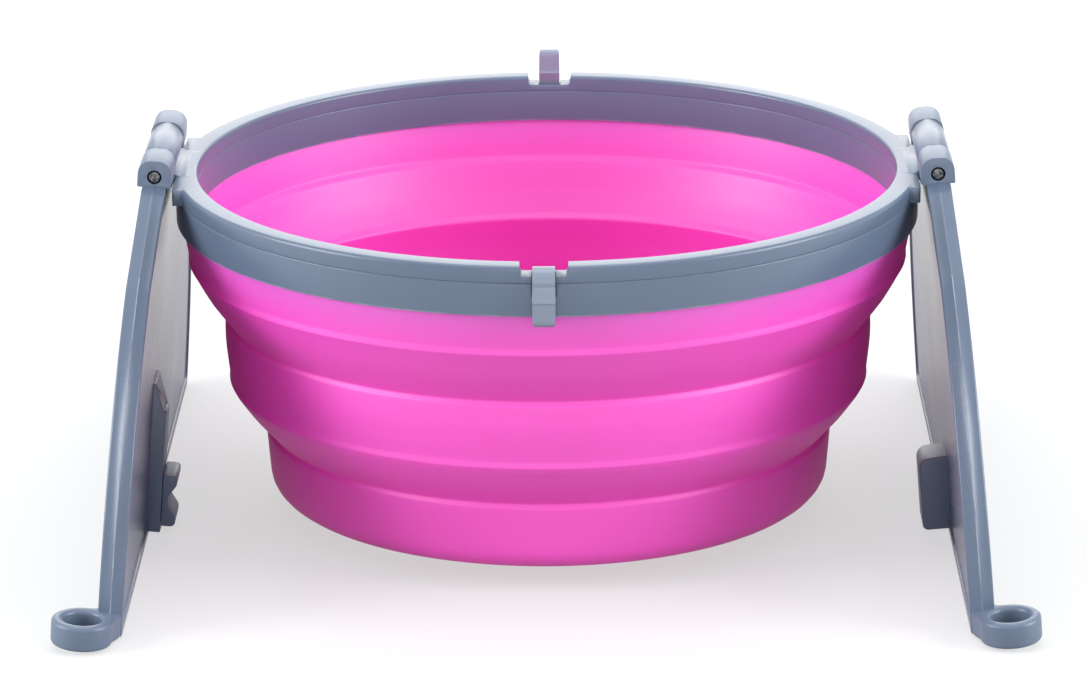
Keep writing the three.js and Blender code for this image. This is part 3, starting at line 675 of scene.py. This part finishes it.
# %% Keeper hood
keeper_outline = eased([(KEEPER_START, GUIDE_FLOOR, 0), (LATCH_END, GUIDE_FLOOR, 0),
                        (LATCH_END, KEEPER_TOP, 1.2), (KEEPER_START + 0.6, KEEPER_TOP, 2.4)])
keeper = pulled("right_lid_keeper", keeper_outline, -LATCH_HALF, LATCH_HALF, crosswise(right_place, -LATCH_Y))
mouth = box("mouth", (MOUTH_START, -LATCH_Y - MOUTH_HALF, LID_HALF),
            (LID_LENGTH + BEYOND, -LATCH_Y + MOUTH_HALF, MOUTH_TOP), right_place)
shaped(keeper, "DIFFERENCE", mouth)
broken_edges(keeper, width=0.6, segments=4)
print("keeper:", len(keeper.data.polygons), "faces")

# %% [markdown]
# Rim clips
#
# A small clip swings on an axle at the front and at the rear of the rim. It has a round knuckle and a
# flat arm with a fine step across it. Its sides swell a little and its tip is rounded. The front one hangs
# and the rear one stands, so one outline serves both, turned over for the rear.

# %% Clips and their axles
CLIP_HALF, CLIP_KNUCKLE, CLIP_SPACING = 2.25, 2.8, 0.6
CLIP_SWELL, SWELL_MIDDLE, SWELL_REACH = 0.04, -3, 6
TIP_LENGTH, TIP_DRAW = 1.2, 0.12
ARM_BACK, ARM_FRONT, ARM_TIP = 1.3, 3.8, -9.05
CLIP_STEP = -3.8
HEAD_FROM, HEAD_TO = math.radians(-62.3), math.radians(-17.2) - 2 * math.pi
HEAD_POINTS = 40
AXLE, AXLE_HALF, CLIP_BORE = 0.5, 5.0, 0.8


def clip_outline():
    angles = [HEAD_FROM + (HEAD_TO - HEAD_FROM) * k / HEAD_POINTS for k in range(HEAD_POINTS + 1)]
    head = [Vector((CLIP_KNUCKLE * math.cos(a), CLIP_KNUCKLE * math.sin(a))) for a in angles]
    arm = eased([(*head[-1], 0), (ARM_FRONT, CLIP_STEP, 0.2), (ARM_FRONT - 0.18, CLIP_STEP - 0.3, 0.2),
                 (ARM_FRONT - 0.35, ARM_TIP, 1.1), (ARM_BACK, ARM_TIP, 1.1), (*head[0], 0)])
    return head + arm[1:-1]


def clip_spread(v):
    """How wide the clip is at a height, against its middle: swollen along the arm and drawn in at the tip."""
    swell = CLIP_SWELL * (1 - ((v - SWELL_MIDDLE) / SWELL_REACH) ** 2)
    tip = max(0, (ARM_TIP + TIP_LENGTH - v) / TIP_LENGTH)
    return 1 + swell - TIP_DRAW * tip ** 2


def clip(name, side, over):
    def placed(u, v, w):
        return (w * clip_spread(v), side * (CLIP_RADIUS + over * u), CLIP_Z + over * v)

    body = pulled(name, dense(clip_outline(), CLIP_SPACING), -CLIP_HALF, CLIP_HALF, placed)
    shaped(body, "DIFFERENCE", pulled("bore", disc(CLIP_BORE, sides=24), -BEYOND, BEYOND, placed))
    return broken_edges(body, width=0.4, segments=3)


front_clip = clip("front_clip_skin", -1, 1)
rear_clip = clip("rear_clip_skin", 1, -1)
axles = {}
for word, side in ends.items():
    axis = at(along_x, 0, side * CLIP_RADIUS, CLIP_Z)
    axle = pulled(f"{word}_axle_skin", disc(AXLE, sides=24), -AXLE_HALF, AXLE_HALF, axis)
    axles[word] = broken_edges(axle, width=0.1, segments=2)
print("clips:", len(front_clip.data.polygons), len(rear_clip.data.polygons), "faces")

# %% [markdown]
# Each piece on its body
#
# The measured bodies know how everything moves. Each new piece rides on the body that carries it and
# stands in for the measured solid. The two skins of the bowl ride on no body.

# %% Ride and replace
riders = {
    "frame": [upper_ring, lower_ring, *pins.values(), *axles.values()],
    "left_leg": [shells["left"], *knuckles["left"], loops["left"], guide],
    "right_leg": [shells["right"], *knuckles["right"], loops["right"], keeper],
    "latch": [slider],
    "front_catch": [front_clip],
    "rear_catch": [rear_clip],
}
for body, pieces in riders.items():
    for piece in pieces:
        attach(piece, body)

stands_for = [(upper_ring, "rim_upper_ring"), (lower_ring, "rim_lower_ring"), (slider, "latch_slider"),
              (front_clip, "front_clip"), (rear_clip, "rear_clip"), (pins["left"], "left_hinge_pin"),
              (pins["right"], "right_hinge_pin"), (axles["front"], "front_clip_axle"),
              (axles["rear"], "rear_clip_axle"), (shells["left"], "left_lid"), (shells["right"], "right_lid")]
for piece, node in stands_for:
    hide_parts(node)
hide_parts("bowl_upper_band", "bowl_upper_fold")
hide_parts("bowl_middle_band", "bowl_lower_fold", "bowl_base")
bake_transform(upper_skin)
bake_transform(lower_skin)
print("pieces that ride:", sum(len(pieces) for pieces in riders.values()), "and two skins that bend")

# %% [markdown]
# Writing a finish as sums
#
# A shader is a web of small nodes. A long web is easier to read as ordinary sums, so one small class
# wraps a socket and turns `+`, `-`, `*` and `/` into Math nodes. Everything else comes from one method.

# %% Shader sums


class Wire:
    """A shader value that can be used in ordinary sums."""

    def __init__(self, finish, socket):
        self.finish = finish
        self.socket = socket

    def maths(self, operation, first, second):
        return self.finish.node("ShaderNodeMath", {"operation": operation}, {0: first, 1: second})

    def __add__(self, other):
        return self.maths("ADD", self, other)

    def __radd__(self, other):
        return self.maths("ADD", other, self)

    def __sub__(self, other):
        return self.maths("SUBTRACT", self, other)

    def __rsub__(self, other):
        return self.maths("SUBTRACT", other, self)

    def __mul__(self, other):
        return self.maths("MULTIPLY", self, other)

    def __rmul__(self, other):
        return self.maths("MULTIPLY", other, self)

    def __truediv__(self, other):
        return self.maths("DIVIDE", self, other)

    def __rtruediv__(self, other):
        return self.maths("DIVIDE", other, self)

    def clamped(self):
        return self.finish.node("ShaderNodeClamp", {}, {"Value": self})

    def absolute(self):
        return self.finish.node("ShaderNodeMath", {"operation": "ABSOLUTE"}, {0: self})

    def line(self, width):
        """One where this distance is nought, fading to nought at the width."""
        return (1 - self.absolute() / width).clamped()


print("sums ready")

# %% A finish made of nodes


class Finish:
    """The nodes of a material or a world, added one call at a time."""

    def __init__(self, owner):
        owner.use_nodes = True
        self.owner = owner
        self.tree = owner.node_tree
        self.tree.nodes.clear()

    def node(self, kind, settings, sockets, output=0):
        """Adds a node and gives one of its outputs, where it has any."""
        made = self.tree.nodes.new(kind)
        for key, value in settings.items():
            setattr(made, key, value)
        for key, value in sockets.items():
            if isinstance(value, Wire):
                self.tree.links.new(value.socket, made.inputs[key])
            else:
                made.inputs[key].default_value = value
        return Wire(self, made.outputs[output]) if len(made.outputs) else None

    def mix(self, amount, first, second):
        """A colour between two others."""
        sockets = {"Factor": amount, 6: first, 7: second}
        return self.node("ShaderNodeMix", {"data_type": "RGBA"}, sockets, output=2)

    def noise(self, where, scale, detail):
        return self.node("ShaderNodeTexNoise", {}, {"Vector": where, "Scale": scale, "Detail": detail})

    def place(self):
        return self.node("ShaderNodeTexCoord", {}, {}, output="Object")

    def xyz(self, where):
        return [self.node("ShaderNodeSeparateXYZ", {}, {"Vector": where}, output=k) for k in range(3)]

    def bump(self, height, strength, distance):
        return self.node("ShaderNodeBump", {}, {"Height": height, "Strength": strength, "Distance": distance})

    def surface(self, sockets):
        self.close(self.node("ShaderNodeBsdfPrincipled", {}, sockets), "ShaderNodeOutputMaterial")
        return self.owner

    def close(self, shader, kind):
        self.node(kind, {}, {"Surface": shader})


print("finish ready")

# %% [markdown]
# Grey plastic
#
# The rim, lids and clips are a satin blue-grey plastic. Up close it has a very fine grain, slow changes of
# tone from the way it flowed in the mould, and pale flash where two mould halves or two pieces meet. The
# flash is a thin broken line. On the rim it lies at known heights. On a lid it lies on the plane half way
# through the lid, near its edge, so the lid's own directions are worked out from the place in the scene.
# The small fittings are duller than the lids, and the clips are paler.

# %% Grey plastic finish
GREY = (0.115, 0.155, 0.230, 1)
GREY_DEEP = (0.100, 0.136, 0.205, 1)
GREY_PALE = (0.34, 0.40, 0.48, 1)
CLIP_GREY = (0.23, 0.27, 0.35, 1)
CLIP_DEEP = (0.19, 0.23, 0.31, 1)
FLASH_LINE = 0.16 * MM
FOOT_FLASH_Z, JOINT_FLASH = RIM_FOOT + 0.12, 0.25
EDGE_SHARE, EDGE_FADE = 0.985, 200


def rim_flash(finish, where):
    height = finish.xyz(where)[2]
    foot = (height - FOOT_FLASH_Z * MM).line(2 * FLASH_LINE)
    joint = (height - RIM_JOINT * MM).line(FLASH_LINE)
    return foot + joint * JOINT_FLASH


def lid_flash(finish, where):
    x, y, z = finish.xyz(where)
    out = HINGE_X * MM - x.absolute()
    up = z - HINGE_Z * MM
    across = out * TURN_SIN + up * TURN_COS
    along = out * TURN_COS - up * TURN_SIN
    from_middle = HINGE_X * MM - along
    squared = from_middle * from_middle + y * y
    near_edge = ((squared / (LID_RADIUS * MM) ** 2 - EDGE_SHARE) * EDGE_FADE).clamped()
    past_hinge = (along / MM - NECK_END).clamped()
    return across.line(FLASH_LINE) * near_edge * past_hinge


def faint_scuffs(finish, where):
    """For a piece without a parting line: a little of the pale tone in slow patches."""
    return finish.noise(where, scale=170, detail=4) * 0.1


def grey_plastic(name, flash, deep, pale, roughness):
    finish = Finish(bpy.data.materials.new(name))
    where = finish.place()
    flow = finish.noise(where, scale=28, detail=3)
    grain = finish.noise(where, scale=2600, detail=2)
    breaks = finish.noise(where, scale=170, detail=4)
    colour = finish.mix((flow * 1.6 - 0.3).clamped(), deep, pale)
    colour = finish.mix((flash(finish, where) * (breaks * 2.6 - 0.6)).clamped(), colour, GREY_PALE)
    return finish.surface({
        "Base Color": colour, "Roughness": roughness + flow * 0.08 + grain * 0.02,
        "Normal": finish.bump(grain * 0.3 + flow * 0.4, strength=0.05, distance=0.2 * MM)})


SATIN, GLOSSY, DULL = 0.26, 0.22, 0.34
rim_plastic = grey_plastic("rim_grey_plastic", rim_flash, GREY_DEEP, GREY, SATIN)
lid_plastic = grey_plastic("lid_grey_plastic", lid_flash, GREY_DEEP, GREY, GLOSSY)
fitting_plastic = grey_plastic("fitting_grey_plastic", faint_scuffs, GREY_DEEP, GREY, DULL)
clip_plastic = grey_plastic("clip_grey_plastic", faint_scuffs, CLIP_DEEP, CLIP_GREY, SATIN)
print("grey plastics:", rim_plastic.name, lid_plastic.name, fitting_plastic.name, clip_plastic.name)

# %% [markdown]
# Pink silicone
#
# Silicone is soft and a little see-through. Light enters it, scatters and comes out nearby, which blurs
# small forms. Some light also comes right through the wall, and a faint glow of deep pink stands for it and
# keeps the shaded sides from going grey. The surface is satin. Just under the rim, where the cool grey
# plastic stands behind the wall, the colour is painted towards lavender as a painted shade.

# %% Pink silicone finish
PINK = (0.80, 0.072, 0.55, 1)
PINK_DEEP = (0.77, 0.058, 0.51, 1)
# The lavender below is a painted shade for the top of the wall, under the rim.
LAVENDER_RIM_SHADE = (0.58, 0.13, 0.58, 1)
RIM_SHADE_FROM, RIM_SHADE_DEPTH = 53.5 * MM, 9 * MM
SCATTER, SCATTER_DEPTH = (1.0, 0.3, 0.85), 1.5 * MM
THROUGH_GLOW, THROUGH_STRENGTH = (1.0, 0.0, 0.22, 1), 0.08


def pink_silicone():
    finish = Finish(bpy.data.materials.new("pink_silicone"))
    where = finish.place()
    height = finish.xyz(where)[2]
    cloud = finish.noise(where, scale=30, detail=2)
    dust = finish.noise(where, scale=900, detail=3)
    colour = finish.mix((cloud * 1.4 - 0.2).clamped(), PINK_DEEP, PINK)
    # Painted shade: towards the top of the wall, under the rim, the colour goes towards lavender.
    painted_rim_shade = ((height - RIM_SHADE_FROM) / RIM_SHADE_DEPTH).clamped()
    colour = finish.mix(painted_rim_shade * 0.7, colour, LAVENDER_RIM_SHADE)
    return finish.surface({
        "Base Color": colour, "Roughness": 0.46 + cloud * 0.08 + dust * 0.05,
        "Normal": finish.bump(dust, strength=0.05, distance=0.2 * MM), "Specular IOR Level": 1.0,
        "Subsurface Weight": 0.4, "Subsurface Radius": SCATTER, "Subsurface Scale": SCATTER_DEPTH,
        "Emission Color": THROUGH_GLOW, "Emission Strength": THROUGH_STRENGTH})


silicone = pink_silicone()
print("silicone:", silicone.name)

# %% [markdown]
# Pin steel
#
# The pins are cut from drawn wire. Fine scratches run over the cut ends and along the sides. They show as
# changes of tone and roughness and as a slight relief.

# %% Steel finish
STEEL_DEEP = (0.03, 0.031, 0.034, 1)
STEEL = (0.17, 0.173, 0.18, 1)


def pin_steel():
    finish = Finish(bpy.data.materials.new("pin_steel"))
    where = finish.place()
    scratches = finish.noise(where, scale=1800, detail=4)
    tone = finish.mix((scratches * 4 - 1.5).clamped(), STEEL_DEEP, STEEL)
    return finish.surface({
        "Base Color": tone, "Metallic": 1.0, "Roughness": 0.25 + scratches * 0.2,
        "Normal": finish.bump(scratches, strength=0.1, distance=0.1 * MM)})


steel = pin_steel()
print("steel:", steel.name)

# %% [markdown]
# Finishes on the pieces
#
# Each piece gets one finish. The measured solids get finishes too, although the pieces stand in for them,
# so that no solid is bare if it is shown.

# %% Finishes on the pieces
finishes = {"pin_steel": steel, "pink_silicone": silicone, "grey_plastic": lid_plastic}
dressed = {"pin_steel": [*pins.values(), *axles.values()], "pink_silicone": [upper_skin, lower_skin]}
rigid = [piece for pieces in riders.values() for piece in pieces]
dressed["grey_plastic"] = [piece for piece in rigid if piece not in dressed["pin_steel"]]
for slot, pieces in dressed.items():
    for piece in pieces:
        piece.data.materials.clear()
        piece.data.materials.append(finishes[slot])
for ring in (upper_ring, lower_ring):
    ring.data.materials[0] = rim_plastic
for piece in (front_clip, rear_clip):
    piece.data.materials[0] = clip_plastic
for piece in (*knuckles["left"], *knuckles["right"], *loops.values(), guide, slider, keeper):
    piece.data.materials[0] = fitting_plastic
for entry in frame["record"]["subparts"]:
    solid = nodes[entry["node"]]
    solid.data.materials.clear()
    solid.data.materials.append(finishes[entry["material_slot"]])
print("finishes set on", sum(len(pieces) for pieces in dressed.values()), "pieces")

# %% [markdown]
# Floor and light
#
# The photograph has a white background and a soft grey shadow. The floor is a matt plane. Some light of its
# own, only for the camera and for reflections, lifts it to white without lighting the bowl, and grows with
# the distance so that the floor runs out into white. Near the bowl this light is weaker, and weaker still in
# reflections: a painted shade on the floor around the bowl, also where the lids and the bowl mirror the
# floor.
# Large soft lamps stand above, in front, behind and at both sides. The one behind is mirrored in the rim's
# flat top and on the knuckles.

# %% Floor


def rays(finish):
    """One for rays from the camera, and one for rays from gloss, each nought for the rest."""
    names = ("Is Camera Ray", "Is Glossy Ray")
    return [finish.node("ShaderNodeLightPath", {}, {}, output=name) for name in names]


FLOOR_SHADE = (0.32, 0.32, 0.325, 1)
FLOOR_LIGHT, UNLIT = (0.985, 1.0, 0.997, 1), (0, 0, 0, 1)
NEAR_GLOW, FAR_GLOW, FAR = 0.57, 0.82, 0.5
NEAR_GLOSS, FAR_GLOSS, GLOSS_FAR = 0.3, 1.0, 0.25
FLOOR_SPAN, FLOOR_DEPTH, FLOOR_GAP = 4000, 5, 0.05

floor_z = measured_box[0][2] / MM - FLOOR_GAP
floor = box("floor", (-FLOOR_SPAN, -FLOOR_SPAN, floor_z - FLOOR_DEPTH), (FLOOR_SPAN, FLOOR_SPAN, floor_z))
floor_finish = Finish(bpy.data.materials.new("pale_floor"))
x, y = floor_finish.xyz(floor_finish.place())[:2]
squared = x * x + y * y
from_camera, from_gloss = rays(floor_finish)
# Weaker glow near the bowl, most of all for reflections: a painted shade around the bowl.
seen = NEAR_GLOW + (squared / FAR ** 2).clamped() * (FAR_GLOW - NEAR_GLOW)
mirrored = NEAR_GLOSS + (squared / GLOSS_FAR ** 2).clamped() * (FAR_GLOSS - NEAR_GLOSS)
glow = floor_finish.mix(from_camera * seen + from_gloss * mirrored, UNLIT, FLOOR_LIGHT)
matt = floor_finish.node("ShaderNodeBsdfDiffuse", {}, {"Color": FLOOR_SHADE})
shine = floor_finish.node("ShaderNodeEmission", {}, {"Color": glow})
lit_floor = floor_finish.node("ShaderNodeAddShader", {}, {0: matt, 1: shine})
floor_finish.close(lit_floor, "ShaderNodeOutputMaterial")
floor.data.materials.append(floor_finish.owner)
print("floor at", round(floor_z, 2), "mm")

# %% World and lamps
AMBIENT = 0.68
WHITE = (1, 1, 1, 1)

world = bpy.data.worlds.new("studio")
bpy.context.scene.world = world
sky = Finish(world)
from_camera, from_gloss = rays(sky)
strength = AMBIENT + (from_camera + from_gloss) * (1 - AMBIENT)
backdrop = sky.node("ShaderNodeBackground", {}, {"Color": WHITE, "Strength": strength})
sky.close(backdrop, "ShaderNodeOutputWorld")


def lamp(name, place, target, size, power):
    light = bpy.data.lights.new(name, "AREA")
    light.shape = "SQUARE"
    light.size = size
    light.energy = power
    made = bpy.data.objects.new(name, light)
    bpy.context.scene.collection.objects.link(made)
    made.location = place
    made.rotation_euler = (Vector(target) - Vector(place)).to_track_quat("-Z", "Y").to_euler()
    return made


LOW_AIM, HIGH_AIM = (0, 0, 0.05), (0, 0, 0.06)
lamps = [
    lamp("overhead", (0.0, 0.2, 1.3), LOW_AIM, size=0.9, power=6),
    lamp("left_box", (-1.25, -0.35, 0.5), LOW_AIM, size=0.7, power=16),
    lamp("right_box", (1.25, -0.35, 0.5), LOW_AIM, size=0.7, power=16),
    lamp("front_fill", (0.0, -1.5, 0.05), HIGH_AIM, size=0.8, power=5.5),
    lamp("back_box", (0.0, 1.3, 0.55), HIGH_AIM, size=1.0, power=6),
]
bpy.context.scene.view_settings.view_transform = "Standard"
print("lamps:", [one.name for one in lamps])
